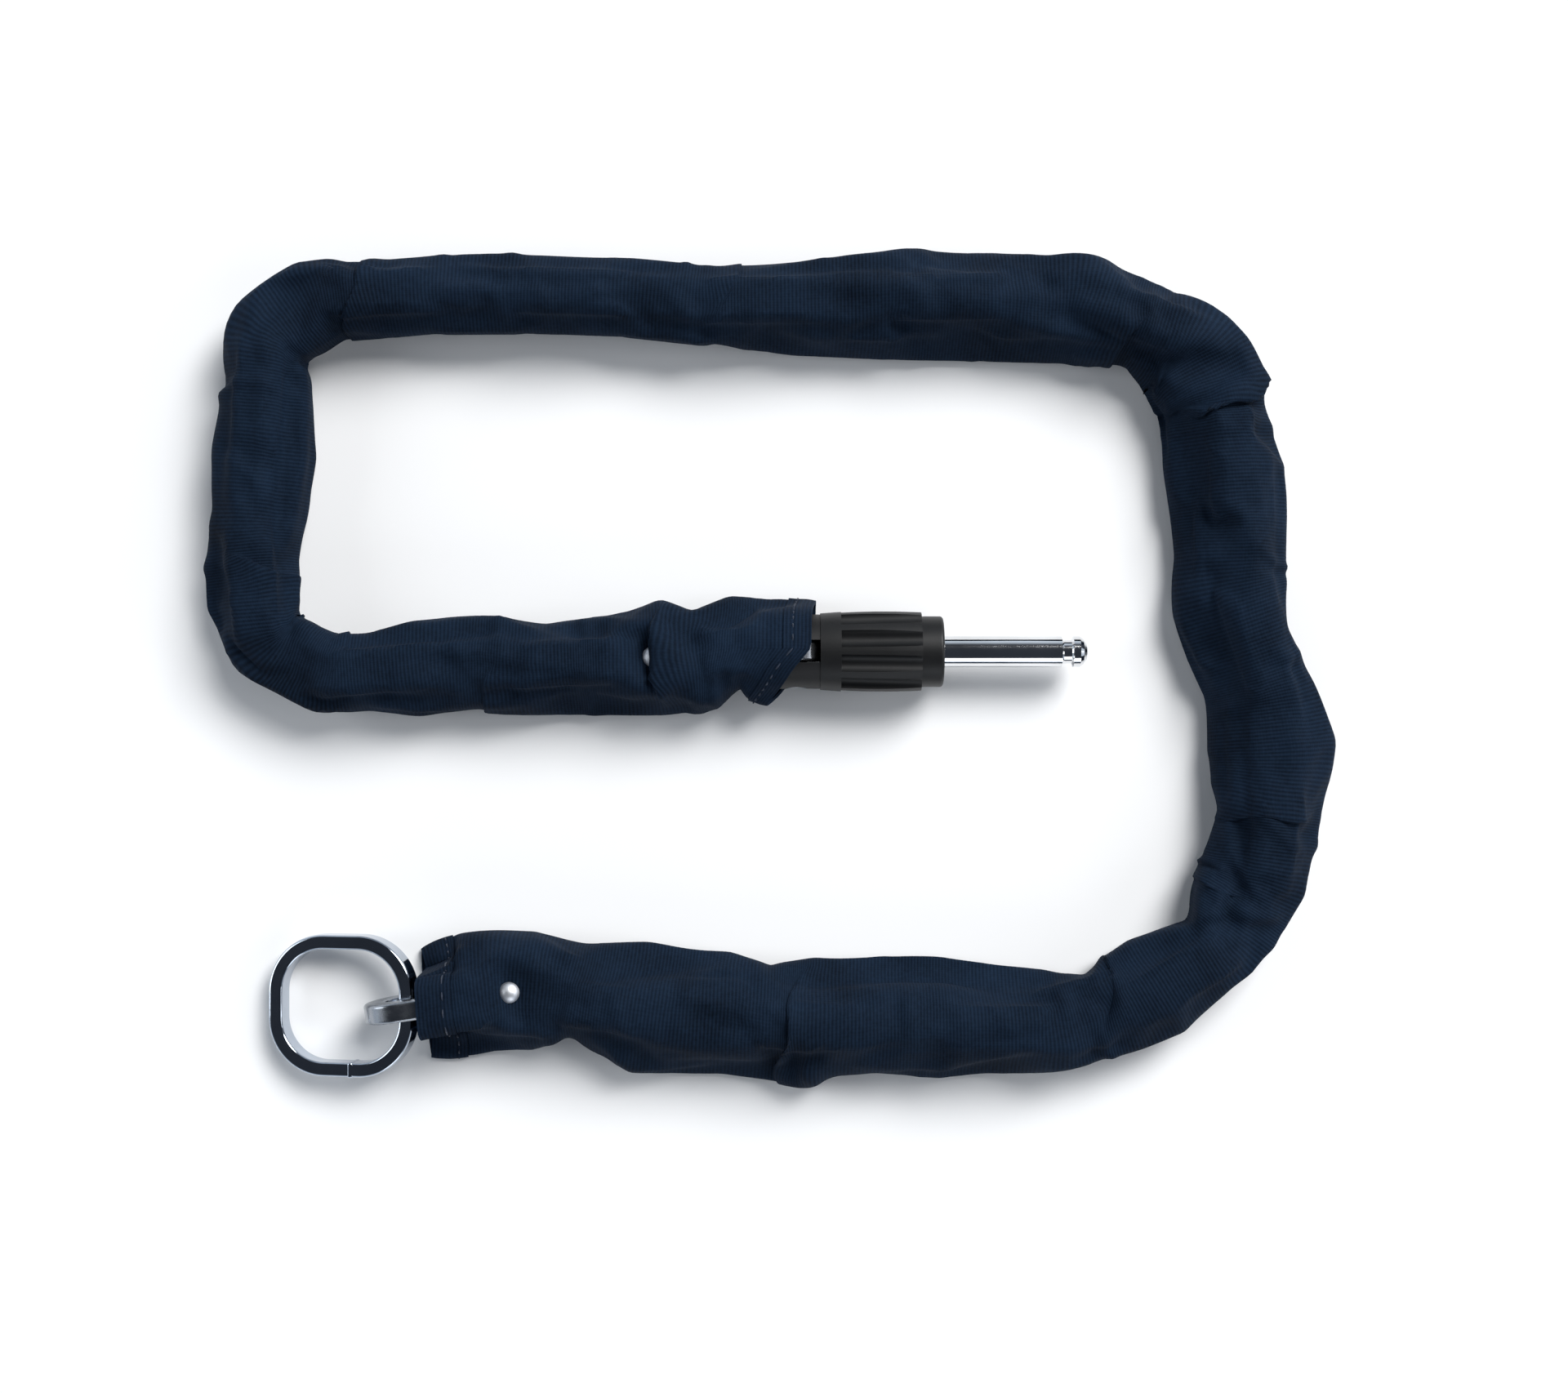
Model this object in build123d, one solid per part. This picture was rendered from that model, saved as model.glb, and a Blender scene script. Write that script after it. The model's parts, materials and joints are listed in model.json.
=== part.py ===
from build123d import *
import math
import os

# A plug-in chain for a bicycle frame lock: a square-bar chain in a woven sleeve, with a welded ring at
# one end and a plug with a locking pin at the other. It lies on a level surface, millimetres, +Z up.
# The origin is on the axis of the locking pin, where the pin leaves the collar, and the pin points
# along +X. The chain runs at the height of that axis.

# ---------------------------------------------------------------- driving dimensions
BAR = 5.5                  # square bar of the links
BAR_EDGE = 1.0             # rounding of the bar's edges
EYE_LENGTH = 27.0          # inside length of a link
EYE_WIDTH = 8.5            # inside width of a link
LINK_COUNT = 35            # odd, so the first and the last link both stand upright
SEAT = 4.0                 # from the inside end of a flat link to the centre of the bar hooked in it
AXIS_HEIGHT = 11.3         # pin and chain axis above the surface that the chain lies on

SLEEVE_WIDTH = 28.0
SLEEVE_WALL = 0.7
SLEEVE_CORNER = 8.0
HEM_LENGTH = 7.0
HEM_WALL = 0.7             # the turned-in second layer of a hem
MOUTH_X = -141.8           # mouth of the sleeve at the ring end

RING_LENGTH = 42.0
RING_WIDTH = 39.0
RING_RADIAL = 4.0          # ring bar, across the ring's face
RING_DEPTH = 6.0           # ring bar, along the ring's axis
RING_CORNER = 16.0
RING_EDGE = 0.8
RING_TILT = 11.03          # degrees: one side lies on the surface, the other is lifted by the link
RING_BAR_X = -146.4        # centre of the bar that is held in the first link
RING_BAR_Z = -0.7

PIN_R = 4.25
PIN_LENGTH = 39.4
PIN_GROOVE_R = 3.3
PIN_GROOVE_FROM = 33.0
PIN_GROOVE_LENGTH = 2.2
PIN_NOSE = 1.9             # chamfer of the pin's head
PIN_ROOT = 24.0            # depth of the pin inside the plug
PIN_ROOT_R = 3.5           # the pin steps down where the plug grips it
PIN_BARE = 0.8             # bare pin inside the recess of the collar
COLLAR_R = 9.7
COLLAR_LENGTH = 6.0
COLLAR_RECESS_R = 5.2      # recess around the pin in the collar's face
COLLAR_RECESS = 1.0
COVER_LENGTH = 27.6
COVER_R_BACK = 10.5
COVER_R_WIDE = 11.2
COVER_R_FRONT = 10.9
FLUTE_COUNT = 10
FLUTE_LENGTH = 22.0
FLUTE_DEPTH = 0.9
CROSS_PIN_X = -40.1
CROSS_PIN_R = 3.0
CROSS_PIN_SEAT = 3.5       # from the cross pin's centre to the end of the last link's eye
FORK_R = 10.2
FORK_SPIGOT_R = 8.6
FORK_BACK = 6.0            # from the cross pin back to the end of the fork
FORK_FRONT_X = -18.0
FORK_SLOT = 6.1
FORK_SLOT_FRONT_X = -30.3

RIVET_R = 1.5
RIVET_HEAD_R = 2.9
RIVET_HEAD_HEIGHT = 1.7
RIVET_GRIP = 11.0          # between the two heads
SLEEVE_DIMPLE_R = 3.6      # opening of the sleeve where it is drawn down to a rivet
FIT = 0.05                 # gap between close parts of the plug

# Where the chain turns, from the ring to the plug, as (x, y). Each list is one stretch of the sleeve,
# which bends at one joint, and the stretches meet half way between their nearest corners.
ROUTE_START = (-162.0, -99.9)
ROUTE_BENDS = [
    [(-115.1, -92.5), (-86.0, -98.6), (-43.5, -101.7)],
    [(32.7, -103.0), (60.7, -93.6)],
    [(84.2, -74.4), (92.3, -47.5)],
    [(90.9, -14.3), (79.7, 7.4)],
    [(78.8, 62.3), (71.9, 83.6), (49.5, 96.3)],
    [(-25.5, 95.6), (-65.9, 94.3), (-92.7, 97.9)],
    [(-160.0, 97.7), (-179.5, 95.4), (-188.0, 80.0)],
    [(-186.8, 38.8), (-194.0, 23.1), (-187.9, 1.8), (-170.0, -7.6)],
    [(-133.1, -3.1), (-103.9, -4.9)],
    [(-68.1, 0.0)],
]
SLEEVE_END = (-35.0, 0.0)
BEND_SHARE = 0.45          # part of the shorter run that an arc takes up at a corner

# ---------------------------------------------------------------- the route and the places of the links


def arc_radii(points):
    """The largest radii that the runs beside each corner of a route allow."""
    radii = []
    for before, corner, after in zip(points, points[1:], points[2:]):
        run_in = Vector(corner) - Vector(before)
        run_out = Vector(after) - Vector(corner)
        half_turn = math.radians(run_in.get_angle(run_out)) / 2
        shorter = min(run_in.length, run_out.length)
        radii.append(BEND_SHARE * shorter / math.tan(half_turn))
    return radii


def stretch_path(start, corners, end):
    """One stretch of the route: straight runs joined by tangent arcs."""
    points = [start, *corners, end]
    return FilletPolyline(*points, radius=arc_radii(points))


def midpoint(a, b):
    return ((a[0] + b[0]) / 2, (a[1] + b[1]) / 2)


def stretch_ends():
    """The ends of the sleeve's stretches, from the ring to the plug."""
    meets = [midpoint(a[-1], b[0]) for a, b in zip(ROUTE_BENDS, ROUTE_BENDS[1:])]
    return [ROUTE_START, *meets, SLEEVE_END]


STRETCH_ENDS = stretch_ends()
STRETCHES = [
    stretch_path(start, corners, end)
    for start, corners, end in zip(STRETCH_ENDS, ROUTE_BENDS, STRETCH_ENDS[1:])
]
ROUTE = Wire([edge for stretch in STRETCHES for edge in stretch.edges()])


def step_back(from_point, from_distance, chord):
    """The point of the route that is one chord nearer the ring, and its distance along the route."""
    near, far = from_distance - 1.3 * chord, from_distance
    while far - near > 1e-5:
        middle = (near + far) / 2
        point = ROUTE.position_at(middle, PositionMode.LENGTH)
        if (point - from_point).length > chord:
            near = middle
        else:
            far = middle
    return ROUTE.position_at(near, PositionMode.LENGTH), near


def end_bars():
    """The centres of the upright links' end bars, from the ring to the cross pin of the plug."""
    upright = EYE_LENGTH + BAR
    flat = EYE_LENGTH - 2 * SEAT
    chords = [upright - CROSS_PIN_SEAT - BAR / 2]
    for number in range(LINK_COUNT - 1):
        chords.append(flat if number % 2 == 0 else upright)
    point = Vector(CROSS_PIN_X, 0)
    distance = ROUTE.length - (SLEEVE_END[0] - CROSS_PIN_X)
    places = [point]
    for chord in chords:
        point, distance = step_back(point, distance, chord)
        places.append(point)
    return places[::-1]


END_BARS = end_bars()

# ---------------------------------------------------------------- shapes


def link_shape():
    """One link lying flat along X, centred on the origin."""
    inside = SlotOverall(EYE_LENGTH, EYE_WIDTH)
    outside = SlotOverall(EYE_LENGTH + 2 * BAR, EYE_WIDTH + 2 * BAR)
    body = extrude(outside - inside, BAR / 2, both=True)
    return fillet(body.edges(), BAR_EDGE)


def chain_link(number):
    """Link 1 is upright and carries the ring; odd links are upright, even ones lie flat."""
    shape = link_shape()
    start, end = END_BARS[number - 1], END_BARS[number]
    ahead = (end - start).normalized()
    if number == LINK_COUNT:
        middle = start + ahead * (EYE_LENGTH + BAR) / 2
    else:
        middle = (start + end) / 2
    turn = math.degrees(math.atan2(ahead.Y, ahead.X))
    roll = 90 if number % 2 else 0
    return Pos(middle.X, middle.Y, 0) * Rot(0, 0, turn) * Rot(roll, 0, 0) * shape


def ring_bar_place():
    """The centre of the ring's bar where the first link holds it."""
    along = (END_BARS[1] - END_BARS[0]).normalized()
    held = END_BARS[0] + along * (RING_BAR_X - END_BARS[0].X)
    return Vector(held.X, held.Y, RING_BAR_Z)


def end_ring():
    """A welded ring of flat bar, lying on its far side and lifted by the first link."""
    outside = RectangleRounded(RING_LENGTH, RING_WIDTH, RING_CORNER)
    inside = RectangleRounded(
        RING_LENGTH - 2 * RING_RADIAL, RING_WIDTH - 2 * RING_RADIAL, RING_CORNER - RING_RADIAL
    )
    body = extrude(outside - inside, RING_DEPTH / 2, both=True)
    body = fillet(body.edges(), RING_EDGE)
    weld = Pos(3, -RING_WIDTH / 2 + RING_RADIAL / 2, 0) * Box(1.6, RING_RADIAL + 0.3, RING_DEPTH + 0.3)
    body += fillet(weld.edges(), 0.6)
    bar_at_origin = Pos(-RING_LENGTH / 2 + RING_RADIAL / 2, 0, 0) * body
    held = ring_bar_place()
    return Pos(held.X, held.Y, held.Z) * Rot(0, -RING_TILT, 0) * bar_at_origin


def sleeve_outline(inset):
    """The sleeve's rounded cross-section, standing in the YZ plane."""
    height = 2 * AXIS_HEIGHT - 2 * inset
    width = SLEEVE_WIDTH - 2 * inset
    return RectangleRounded(width, height, SLEEVE_CORNER - inset)


def section_on(path, outline):
    """A cross-section standing across the start of a path."""
    start = path.position_at(0)
    along = path.tangent_at(0)
    across = Vector(0, 0, 1).cross(along)
    return Plane(origin=start, x_dir=across, z_dir=along) * outline


def tube(path, inset, wall):
    """A tube of the sleeve's section along a path, starting a given distance inside its outline."""
    section = section_on(path, sleeve_outline(inset) - sleeve_outline(inset + wall))
    return sweep(section, path=path)


def dimple(place):
    """What is cut from the sleeve above and below a rivet."""
    return Pos(place.X, place.Y, 0) * Cylinder(SLEEVE_DIMPLE_R, 3 * AXIS_HEIGHT)


def mouth_path():
    """The route from the sleeve's mouth to the end of its first stretch."""
    first = ROUTE_BENDS[0][0]
    rise = (first[1] - ROUTE_START[1]) / (first[0] - ROUTE_START[0])
    mouth = (MOUTH_X, ROUTE_START[1] + rise * (MOUTH_X - ROUTE_START[0]))
    points = [mouth, *ROUTE_BENDS[0], STRETCH_ENDS[1]]
    full = [ROUTE_START, *ROUTE_BENDS[0], STRETCH_ENDS[1]]
    return FilletPolyline(*points, radius=[min(a, b) for a, b in zip(arc_radii(points), arc_radii(full))])


def rivet_places():
    """The centres of the two rivets, in the eyes of the second link and the last flat one."""
    beside = Vector(0, 1.4, 0)  # the first rivet stands to one side of its eye
    at_ring = END_BARS[1] + (END_BARS[2] - END_BARS[1]).normalized() * 5.2 + beside
    at_plug = END_BARS[-3] + (END_BARS[-2] - END_BARS[-3]).normalized() * 6.0
    return at_ring, at_plug


def rivet(place):
    """A rivet with a domed upper head and a plain shank."""
    half = RIVET_GRIP / 2
    dome_r = (RIVET_HEAD_R**2 + RIVET_HEAD_HEIGHT**2) / (2 * RIVET_HEAD_HEIGHT)
    dome = Pos(0, 0, half + RIVET_HEAD_HEIGHT - dome_r) * Sphere(dome_r)
    head = dome & (Pos(0, 0, half + RIVET_HEAD_HEIGHT / 2) * Box(9, 9, RIVET_HEAD_HEIGHT))
    shank = Cylinder(RIVET_R, RIVET_GRIP)
    return Pos(place.X, place.Y, 0) * (head + shank)


def rivet_cap(place):
    """The washer that the rivet is clenched over, below."""
    cap = Cylinder(RIVET_HEAD_R, RIVET_HEAD_HEIGHT)
    cap = fillet(cap.edges(), 0.5)
    return Pos(place.X, place.Y, -(RIVET_GRIP + RIVET_HEAD_HEIGHT) / 2) * cap


def turned(profile):
    """A solid turned about the plug's axis from its half section in the XZ plane."""
    return revolve(profile, Axis.X)


def plug_pin():
    """The locking pin: shank, groove for the lock's bolt, and a chamfered and rounded head."""
    groove_to = PIN_GROOVE_FROM + PIN_GROOVE_LENGTH
    chamfer = 0.5
    half = Plane.XZ * make_face(
        Polyline(
            (-PIN_ROOT, 0),
            (-PIN_ROOT, PIN_ROOT_R),
            (-PIN_BARE, PIN_ROOT_R),
            (-PIN_BARE, PIN_R),
            (PIN_GROOVE_FROM - chamfer, PIN_R),
            (PIN_GROOVE_FROM, PIN_GROOVE_R),
            (groove_to, PIN_GROOVE_R),
            (groove_to + chamfer, PIN_R),
            (PIN_LENGTH - PIN_NOSE, PIN_R),
            (PIN_LENGTH - PIN_NOSE / 2, PIN_R - PIN_NOSE * 0.35),
            (PIN_LENGTH, PIN_R - PIN_NOSE),
            (PIN_LENGTH, 0),
            (-PIN_ROOT, 0),
        )
    )
    return turned(half)


def plug_collar():
    """The black collar that the pin leaves, with a rounded front edge."""
    body = Pos(-COLLAR_LENGTH / 2, 0, 0) * Rot(0, 90, 0) * Cylinder(COLLAR_R, COLLAR_LENGTH)
    body = fillet(body.edges().group_by(Axis.X)[-1], 0.9)
    body -= Pos(-COLLAR_RECESS / 2, 0, 0) * Rot(0, 90, 0) * Cylinder(COLLAR_RECESS_R, COLLAR_RECESS)
    return body - Rot(0, 90, 0) * Cylinder(PIN_ROOT_R + FIT, 4 * COLLAR_LENGTH)


def flute():
    """A long hollow in the plug cover that fades out towards the back."""
    front = -COLLAR_LENGTH
    cutter_r = 2.6
    run = Pos(front - FLUTE_LENGTH / 2 + 1.5, 0, 0) * Rot(0, 90, 0) * Cylinder(cutter_r, FLUTE_LENGTH + 3)
    fade = math.degrees(math.atan2(FLUTE_DEPTH, FLUTE_LENGTH))
    return Pos(0, 0, COVER_R_FRONT + cutter_r - FLUTE_DEPTH) * Rot(0, -fade * 0.9, 0) * run


def plug_cover():
    """The black grip over the plug: a slight barrel with long tapered flutes."""
    front = -COLLAR_LENGTH
    back = front - COVER_LENGTH
    widest = front - 0.42 * COVER_LENGTH
    side = ThreePointArc((back, COVER_R_BACK), (widest, COVER_R_WIDE), (front, COVER_R_FRONT))
    outline = Polyline((front, COVER_R_FRONT), (front, 0), (back, 0), (back, COVER_R_BACK))
    body = turned(Plane.XZ * make_face(side + outline))
    for turn in range(FLUTE_COUNT):
        body -= Rot((turn + 0.5) * 360 / FLUTE_COUNT, 0, 0) * flute()
    socket_depth = FORK_FRONT_X - back + FIT
    socket_x = back + socket_depth / 2
    body -= Pos(socket_x, 0, 0) * Rot(0, 90, 0) * Cylinder(FORK_SPIGOT_R + FIT, socket_depth)
    return body - Rot(0, 90, 0) * Cylinder(PIN_ROOT_R + FIT, 4 * COVER_LENGTH)


def plug_fork():
    """The steel fork that takes the last link: two cheeks, and a spigot inside the cover."""
    back = CROSS_PIN_X - FORK_BACK
    shoulder = -COLLAR_LENGTH - COVER_LENGTH - FIT
    cheeks = Pos((back + shoulder) / 2, 0, 0) * Rot(0, 90, 0) * Cylinder(FORK_R, shoulder - back)
    cheeks = fillet(cheeks.edges().group_by(Axis.X)[0], 1.2)
    spigot_length = FORK_FRONT_X - shoulder
    spigot = Pos(shoulder + spigot_length / 2, 0, 0) * Rot(0, 90, 0) * Cylinder(FORK_SPIGOT_R, spigot_length)
    slot_length = FORK_SLOT_FRONT_X - back + 2
    slot = Pos(FORK_SLOT_FRONT_X - slot_length / 2, 0, 0) * Box(slot_length, FORK_SLOT, 3 * FORK_R)
    bore_length = PIN_ROOT + FORK_FRONT_X + FIT
    bore = Pos(FORK_FRONT_X - bore_length / 2, 0, 0) * Rot(0, 90, 0) * Cylinder(PIN_ROOT_R + FIT, bore_length)
    cross_hole = Pos(CROSS_PIN_X, 0, 0) * Rot(90, 0, 0) * Cylinder(CROSS_PIN_R, 3 * FORK_R)
    return cheeks + spigot - slot - bore - cross_hole


def cross_pin():
    """The pin across the fork, through the last link, ground flush with the fork's sides."""
    pin = Pos(CROSS_PIN_X, 0, 0) * Rot(90, 0, 0) * Cylinder(CROSS_PIN_R, 3 * FORK_R)
    return pin & (Pos(CROSS_PIN_X, 0, 0) * Rot(0, 90, 0) * Cylinder(FORK_R, 4 * CROSS_PIN_R))


# ---------------------------------------------------------------- the object, node by node


def sleeve_nodes(rivets):
    """The sleeve's stretches, and the hems turned in at its two mouths."""
    nodes = {}
    paths = [mouth_path(), *STRETCHES[1:]]
    for number, path in enumerate(paths, start=1):
        nodes[f"sleeve_{number:02d}"] = tube(path, 0, SLEEVE_WALL)
    nodes["sleeve_01"] -= dimple(rivets[0])
    nodes["sleeve_10"] -= dimple(rivets[1])
    mouth = paths[0]
    hem_at_ring = Line(mouth.position_at(0), mouth.position_at(0) + mouth.tangent_at(0) * HEM_LENGTH)
    nodes["hem_ring_end"] = tube(hem_at_ring, SLEEVE_WALL, HEM_WALL)
    return nodes


def build_nodes():
    """Every node of the object by name."""
    nodes = {f"chain_link_{n:02d}": chain_link(n) for n in range(1, LINK_COUNT + 1)}
    nodes["end_ring"] = end_ring()
    rivets = rivet_places()
    for name, place in zip(("ring_end_rivet", "plug_end_rivet"), rivets):
        nodes[name] = rivet(place)
        nodes[name + "_cap"] = rivet_cap(place)
    nodes.update(sleeve_nodes(rivets))
    nodes["plug_pin"] = plug_pin()
    nodes["plug_collar"] = plug_collar()
    nodes["plug_cover"] = plug_cover()
    nodes["plug_fork"] = plug_fork()
    nodes["cross_pin"] = cross_pin()
    return nodes


NODES = build_nodes()
os.makedirs("parts", exist_ok=True)
for node_name, node_shape in NODES.items():
    export_step(node_shape, f"parts/{node_name}.step")
print("route arcs:", [round(r, 1) for e, b, f in zip(STRETCH_ENDS, ROUTE_BENDS, STRETCH_ENDS[1:])
                      for r in arc_radii([e, *b, f])])
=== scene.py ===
"""A plug-in bicycle chain lying on a pale floor: CAD links, ring and plug, and a simulated fabric sleeve.

Everything is in metres in the CAD frame. The sleeve is one woven tube, simulated as cloth over the links,
then cut into stretches, one about each of the chain's joints.
"""
import json
import math

import bpy
import numpy as np
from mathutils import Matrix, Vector


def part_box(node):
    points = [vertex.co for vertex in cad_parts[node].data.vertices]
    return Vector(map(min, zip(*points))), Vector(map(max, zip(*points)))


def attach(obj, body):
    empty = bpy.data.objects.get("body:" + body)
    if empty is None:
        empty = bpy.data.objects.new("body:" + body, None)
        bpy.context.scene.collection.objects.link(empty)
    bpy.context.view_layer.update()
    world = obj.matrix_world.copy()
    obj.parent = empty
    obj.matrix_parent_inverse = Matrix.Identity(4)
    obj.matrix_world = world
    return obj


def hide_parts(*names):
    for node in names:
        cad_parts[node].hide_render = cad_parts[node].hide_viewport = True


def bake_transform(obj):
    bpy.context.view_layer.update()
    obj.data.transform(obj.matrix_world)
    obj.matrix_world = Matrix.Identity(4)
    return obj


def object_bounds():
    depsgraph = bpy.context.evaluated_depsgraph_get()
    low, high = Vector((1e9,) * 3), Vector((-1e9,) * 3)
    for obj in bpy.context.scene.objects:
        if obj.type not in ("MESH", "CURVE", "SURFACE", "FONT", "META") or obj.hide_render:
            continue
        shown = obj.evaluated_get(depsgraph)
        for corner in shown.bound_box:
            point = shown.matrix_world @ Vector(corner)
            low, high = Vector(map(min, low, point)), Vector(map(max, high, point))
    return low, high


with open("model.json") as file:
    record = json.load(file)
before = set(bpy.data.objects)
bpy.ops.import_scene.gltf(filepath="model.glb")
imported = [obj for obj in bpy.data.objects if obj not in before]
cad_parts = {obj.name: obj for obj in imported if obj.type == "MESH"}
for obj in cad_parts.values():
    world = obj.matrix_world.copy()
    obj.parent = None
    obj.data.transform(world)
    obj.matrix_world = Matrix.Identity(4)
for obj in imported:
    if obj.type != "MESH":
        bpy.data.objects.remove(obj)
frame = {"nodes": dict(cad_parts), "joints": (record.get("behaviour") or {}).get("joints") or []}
cad_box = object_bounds()

MM = 0.001
FLOOR_Z = cad_box[0][2]
LINK_COUNT = 35
BAR = 5.5 * MM
EYE_WIDTH = 8.5 * MM
LINK_REACH = 16.25 * MM            # from a link's centre to the centre of its end bar
LINK_STRAIGHT = LINK_REACH - BAR / 2 - EYE_WIDTH / 2    # from its centre to the end of its straight sides
LINK_OUTER = EYE_WIDTH / 2 + BAR   # the radius of its rounded ends
FORK_R = 10.2 * MM
FORK_BACK_X = -46.1 * MM
FORK_FRONT_X = -10 * MM

# Room between the cloth and what moves inside it, on top of the gap that it keeps everywhere.
SWING_ROOM = 4.3 * MM              # beside the first link, which swings in the mouth
SWING_LIFT = 0.8 * MM              # over and under the first link
BEND_ROOM = 2.6 * MM               # beside the other upright links, for the bends
ROCK_ROOM = 0.9 * MM               # around the fork, which rocks in the other mouth
NEAR_MOUTH = 30 * MM               # how far a mouth's clearances and the route's ends reach

# ---------------------------------------------------------------- sleeve
MOUTH_BACK = 12.5 * MM             # from the first end bar to the mouth at the ring end
RING_CUT_REACH = 20 * MM           # how far in the slant of the ring end's cut edge is felt
PLUG_CUT_REACH = 34 * MM           # the same at the plug end
SLEEVE_END_X = -35 * MM            # the mouth at the plug end
ROUND = 80 * MM                    # the tube's circumference
SPARE_LENGTH = 1.02                # cloth per length of chain, away from the gathers
CLOTH = 0.5 * MM                   # thickness
RING_HEM = 9.5 * MM
PLUG_HEM = 7.5 * MM
HEM_PROUD = 0.45 * MM              # how far the turned hem stands off the cloth
HEM_INNER = CLOTH + 0.2 * MM       # how far its inner side lies below the cloth's outer side
STITCH_R = 0.24 * MM
RIVET_LEVEL = 5 * MM               # the height that a rivet draws the cloth down to
RIVETS = ("ring_end_rivet", "plug_end_rivet")
RIB = 1.03 * MM                    # spacing of the woven ribs
GRID = 2.5 * MM                    # spacing of the simulated mesh
START_HEIGHT = 10.8 * MM           # half the tube's height before it settles
SIM_SCALE = 20.0                   # the simulation runs on an enlarged copy
SIM_FRAMES = 44

# Where the cloth is gathered: the distance from the mouth at the ring, the spare length taken up there and
# how far it spreads, in mm.
GATHERS = [
    (12, 2, 4), (44, 5, 7), (103, 8, 5), (140, 3, 10), (188, 7, 8), (238, 6, 8), (262, 4, 6), (300, 3, 6),
    (345, 3, 8), (378, 8, 6), (415, 5, 6), (470, 4, 9), (530, 4, 8), (575, 2, 8), (628, 6, 8), (668, 3, 8),
    (716, 5, 7), (760, 4, 7), (800, 4, 6), (828, 5, 4), (868, 5, 5),
]

# The sleeve's outline on the floor: the distance from its mouth at the ring, then its reach to the left and
# to the right of the chain, all in mm. Listed where it bulges, narrows or is pinched. The values were picked
# and rounded from measurements of the photo's edges.
OUTLINE = [
    (0, 15.5, 17), (12, 17.5, 17.5), (30, 17, 16), (42, 14.5, 11.5), (60, 18, 19), (84, 17.5, 17.5),
    (96, 14.5, 18), (108, 17, 19.5), (114, 17, 16), (126, 18, 14.5), (144, 18, 16), (174, 14, 14),
    (186, 10.5, 12.5), (192, 13.5, 13), (204, 14, 15), (221, 10.5, 11.5), (234, 15, 11.5), (246, 18, 12.5),
    (258, 15, 14.5), (264, 13.5, 15), (270, 16.5, 15.5), (282, 17.5, 17), (300, 15.5, 12), (312, 17, 11.5),
    (324, 17, 15), (336, 15, 15.5), (360, 17, 17), (372, 17.5, 14), (378, 17.5, 11.5), (390, 17.5, 14),
    (402, 17, 12), (414, 11.5, 13.5), (426, 16, 14.5), (438, 16, 12.5), (474, 15, 16), (510, 13, 12.5),
    (528, 11, 11), (552, 10.5, 11), (588, 10.5, 11.2), (612, 10.5, 10.6), (630, 10.5, 10.5), (642, 11, 13.5),
    (654, 10.8, 13.5), (666, 12, 12), (684, 14.5, 13.5), (702, 13, 11.5), (714, 10.5, 15), (726, 10.5, 15.5),
    (738, 11, 10.8), (756, 11.3, 10.6), (768, 10.8, 11.2), (780, 13, 14), (798, 14, 12), (804, 14, 13.5),
    (816, 11.5, 14),
    (840, 14, 16), (850, 16, 16.5), (858, 11.8, 17), (867, 15.8, 15.5), (875, 15.3, 10.3), (882, 15, 13),
    (890, 14.4, 14.8),
]

# Where the cloth is folded over on itself, all in mm: the distance from the mouth at the ring, how far the
# fold reaches (ahead if above 0, back if below), how proud it stands, how much further along it lies at the
# cloth's left edge than on the chain's line, and the folded part's middle, left of the line, and half width.
PLEATS = [
    (103, -3.4, 1.1, 2.5, -4, 19), (188, 2.6, 1.2, 7.0, 8, 13), (240, -2.2, 0.9, -3.0, 12, 11),
    (264, -2.8, 1.1, -2.0, 3, 17), (378, -4.0, 1.6, -5.0, -6, 17), (414, -2.6, 1.0, 5.0, 8, 12),
    (528, -2.4, 0.9, 6.0, -6, 13), (627, 3.0, 1.2, 6.0, 0, 15), (716, -2.6, 1.1, 7.0, 6, 13),
    (760, 2.4, 1.0, 5.0, 9, 11), (804, -2.2, 0.9, 5.0, -9, 11), (850, -4.2, 3.0, 1.5, 0.5, 14.5),
]
# Creases that run along the cloth: from and to a distance, at how far left of the chain at each, in mm.
CREASES = [
    (285, 372, -10.5, -9.0), (395, 520, 1.5, -4.0), (548, 612, -2.0, 1.5), (640, 708, -2.5, 4.5),
    (60, 98, 6.0, 2.0), (112, 176, -7.0, 4.0), (206, 256, 9.0, 7.0), (775, 838, 5.0, -3.0),
]


def make_object(name, verts, faces):
    """A mesh object from an array of points and a list of faces."""
    mesh = bpy.data.meshes.new(name)
    mesh.from_pydata(np.asarray(verts).tolist(), [], faces)
    mesh.update()
    obj = bpy.data.objects.new(name, mesh)
    bpy.context.collection.objects.link(obj)
    return obj


def remove_object(obj):
    mesh = obj.data
    bpy.data.objects.remove(obj)
    bpy.data.meshes.remove(mesh)


def make_square(name, half, z):
    """A level square about the origin."""
    corners = [(-half, -half, z), (half, -half, z), (half, half, z), (-half, half, z)]
    return make_object(name, corners, [(0, 1, 2, 3)])


def ease(share):
    """A share held between 0 and 1, that starts and ends softly."""
    share = np.clip(share, 0, 1)
    return share * share * (3 - 2 * share)


def middle_of(name):
    """The middle of a CAD node's box."""
    low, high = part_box(name)
    return (np.array(low) + np.array(high)) / 2


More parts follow.
